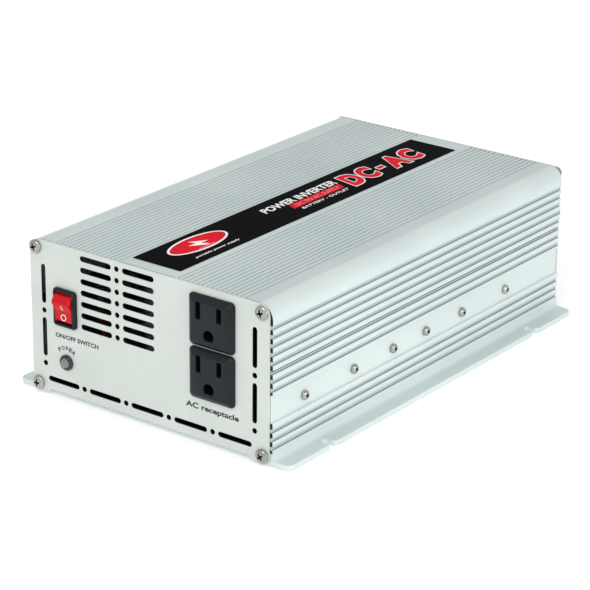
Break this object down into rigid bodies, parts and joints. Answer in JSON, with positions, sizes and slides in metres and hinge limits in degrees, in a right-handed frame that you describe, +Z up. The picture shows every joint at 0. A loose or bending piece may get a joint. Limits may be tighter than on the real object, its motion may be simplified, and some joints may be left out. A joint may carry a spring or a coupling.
{
  "type": "power inverter",
  "caption": "Low box inverter: finned aluminium shells with slotted mounting flanges, sockets, rocker switch and lamp in front, fan and battery terminals behind.",
  "frame": {"origin": "middle of the part's outer box on the plane its flanges stand on: level with the feet, midway between the side flanges and midway between the rocker's tip at the front and the stud ends at the rear", "axes": "+X to the right seen from the front, +Y from the socket panel back to the battery terminals, +Z up"},
  "size_m": [0.173, 0.2824, 0.0824],
  "materials": {
    "anodised_aluminium": "clear anodised extrusion with fine die lines, satin",
    "plate_aluminium": "flat sheet, matt anodised",
    "label_black": "printed film, satin black",
    "slate_plastic": "moulded nylon, fine satin texture",
    "rocker_red": "polished red polycarbonate",
    "lamp_holder": "moulded ring, dark and glossy",
    "lamp_lens": "water-clear lens",
    "nickel_steel": "bright nickel plate",
    "clamp_steel": "zinc plated strip",
    "black_plastic": "moulded, satin black",
    "red_plastic": "moulded, glossy red",
    "earth_brass": "bright brass",
    "board_green": "fibreglass laminate under green solder resist",
    "ferrite": "sintered, matt dark grey",
    "coil_tape": "yellow polyester tape over the winding",
    "capacitor_sleeve": "shrunk vinyl sleeve, dark blue",
    "copper_winding": "enamelled copper wire",
    "fuse_plastic": "translucent blue blade fuses",
    "print_white": "screen printed ink",
    "print_red": "screen printed ink",
    "print_dark": "screen printed ink",
    "contact_bronze": "bare spring contacts",
    "wire_red": "insulated wire",
    "wire_black": "insulated wire",
    "wire_green": "insulated earth wire",
    "transistor_black": "moulded epoxy",
    "solder_tin": "tinned leads and lugs"
  },
  "bodies": {
    "case": {"base_extrusion": "anodised_aluminium", "top_cover": "anodised_aluminium", "front_plate": "plate_aluminium", "rear_plate": "plate_aluminium", "name_label": "label_black", "upper_socket": "slate_plastic", "lower_socket": "slate_plastic", "switch_housing": "slate_plastic", "lamp_bezel": "lamp_holder", "lamp_lens": "lamp_lens", "front_plate_screw_1": "nickel_steel", "front_plate_screw_2": "nickel_steel", "front_plate_screw_3": "nickel_steel", "front_plate_screw_4": "nickel_steel", "rear_plate_screw_1": "nickel_steel", "rear_plate_screw_2": "nickel_steel", "rear_plate_screw_3": "nickel_steel", "rear_plate_screw_4": "nickel_steel", "right_clamp_screw_1": "nickel_steel", "right_clamp_screw_2": "nickel_steel", "right_clamp_screw_3": "nickel_steel", "right_clamp_screw_4": "nickel_steel", "right_clamp_screw_5": "nickel_steel", "right_clamp_screw_6": "nickel_steel", "left_clamp_screw_1": "nickel_steel", "left_clamp_screw_2": "nickel_steel", "left_clamp_screw_3": "nickel_steel", "left_clamp_screw_4": "nickel_steel", "left_clamp_screw_5": "nickel_steel", "left_clamp_screw_6": "nickel_steel", "right_clamp_bar": "clamp_steel", "left_clamp_bar": "clamp_steel", "fan_frame": "black_plastic", "fan_screw_1": "nickel_steel", "fan_screw_2": "nickel_steel", "fan_screw_3": "nickel_steel", "fan_screw_4": "nickel_steel", "positive_terminal_bush": "red_plastic", "negative_terminal_bush": "black_plastic", "positive_stud": "nickel_steel", "negative_stud": "nickel_steel", "earth_screw": "earth_brass", "circuit_board": "board_green", "transformer_core_1": "ferrite", "transformer_core_2": "ferrite", "transformer_coil_1": "coil_tape", "transformer_coil_2": "coil_tape", "input_capacitor_1": "capacitor_sleeve", "input_capacitor_2": "capacitor_sleeve", "input_capacitor_3": "capacitor_sleeve", "bus_capacitor": "capacitor_sleeve", "output_choke": "copper_winding", "fuse_block": "fuse_plastic"},
    "rocker": {"switch_rocker": "rocker_red"},
    "rotor": {"fan_rotor": "black_plastic"},
    "positive_washer": {"positive_washer": "nickel_steel"},
    "positive_nut": {"positive_thumb_nut": "nickel_steel"},
    "negative_washer": {"negative_washer": "nickel_steel"},
    "negative_nut": {"negative_thumb_nut": "nickel_steel"}
  },
  "joints": [
    {"name": "rocker_tilt", "type": "hinge", "parent": "case", "child": "rocker", "pos_m": [-0.0519, -0.13367, 0.0495], "axis": [-1, 0, 0], "range_deg": [0, 30]},
    {"name": "fan_spin", "type": "hinge", "parent": "case", "child": "rotor", "pos_m": [-0.033, 0.11198, 0.042], "axis": [0, 1, 0], "continuous": true},
    {"name": "positive_nut_turn", "type": "hinge", "parent": "positive_washer", "child": "positive_nut", "pos_m": [0.03, 0.13133, 0.048], "axis": [0, -1, 0], "range_deg": [0, 1440]},
    {"name": "positive_washer_slide", "type": "slide", "parent": "case", "child": "positive_washer", "axis": [0, 1, 0], "range_m": [0, 0.005]},
    {"name": "negative_nut_turn", "type": "hinge", "parent": "negative_washer", "child": "negative_nut", "pos_m": [0.06, 0.13133, 0.048], "axis": [0, -1, 0], "range_deg": [0, 1440]},
    {"name": "negative_washer_slide", "type": "slide", "parent": "case", "child": "negative_washer", "axis": [0, 1, 0], "range_m": [0, 0.005]}
  ],
  "couplings": [
    {"joint": "positive_washer_slide", "follows": "positive_nut_turn", "m_per_rad": 0.00019894},
    {"joint": "negative_washer_slide", "follows": "negative_nut_turn", "m_per_rad": 0.00019894}
  ]
}
